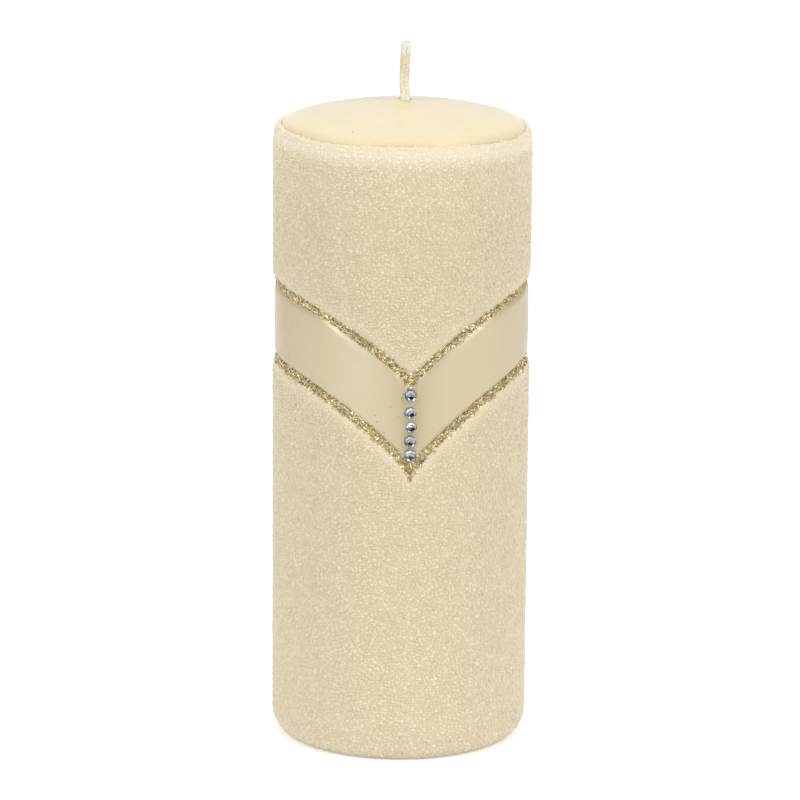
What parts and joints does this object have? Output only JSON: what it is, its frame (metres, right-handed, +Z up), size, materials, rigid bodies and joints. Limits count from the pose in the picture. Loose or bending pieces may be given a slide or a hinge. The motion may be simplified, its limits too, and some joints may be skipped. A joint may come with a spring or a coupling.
{
  "type": "unity candle",
  "caption": "Tall domed pillar candle with a granulated wax coat, a pearl chevron band edged in gold glitter and a vertical row of faceted flat-back stones.",
  "frame": {"origin": "centre of the flat foot of the pillar", "axes": "+Z up along the pillar's axis, -Y is the front where the chevron points down, +X is the right side seen from the front"},
  "size_m": [0.0724, 0.0734, 0.1973],
  "materials": {
    "smooth_wax": "smooth ivory candle wax, soft sheen, slightly translucent",
    "wax_granules": "fine ivory wax granules, dull, slightly translucent",
    "pearl_wax": "pearl champagne decorating wax, satin sheen",
    "gold_glitter": "fine gold glitter in clear glue",
    "wick_cotton": "braided cotton, waxed",
    "clip_steel": "tinned sheet steel",
    "stone_glass": "clear cut glass, polished facets",
    "stone_foil": "silver mirror foil",
    "clear_adhesive": "clear dried glue"
  },
  "bodies": {
    "root": {"wax_core": "smooth_wax", "wick": "wick_cotton", "wick_sustainer": "clip_steel", "granule_coat_upper": "wax_granules", "granule_coat_lower": "wax_granules", "chevron_band_left": "pearl_wax", "chevron_band_right": "pearl_wax", "glitter_line_upper_left": "gold_glitter", "glitter_line_upper_right": "gold_glitter", "glitter_line_lower_left": "gold_glitter", "glitter_line_lower_right": "gold_glitter", "rhinestone_1": "stone_glass", "rhinestone_foil_1": "stone_foil", "stone_adhesive_1": "clear_adhesive", "rhinestone_2": "stone_glass", "rhinestone_foil_2": "stone_foil", "stone_adhesive_2": "clear_adhesive", "rhinestone_3": "stone_glass", "rhinestone_foil_3": "stone_foil", "stone_adhesive_3": "clear_adhesive", "rhinestone_4": "stone_glass", "rhinestone_foil_4": "stone_foil", "stone_adhesive_4": "clear_adhesive", "rhinestone_5": "stone_glass", "rhinestone_foil_5": "stone_foil", "stone_adhesive_5": "clear_adhesive"}
  },
  "joints": []
}
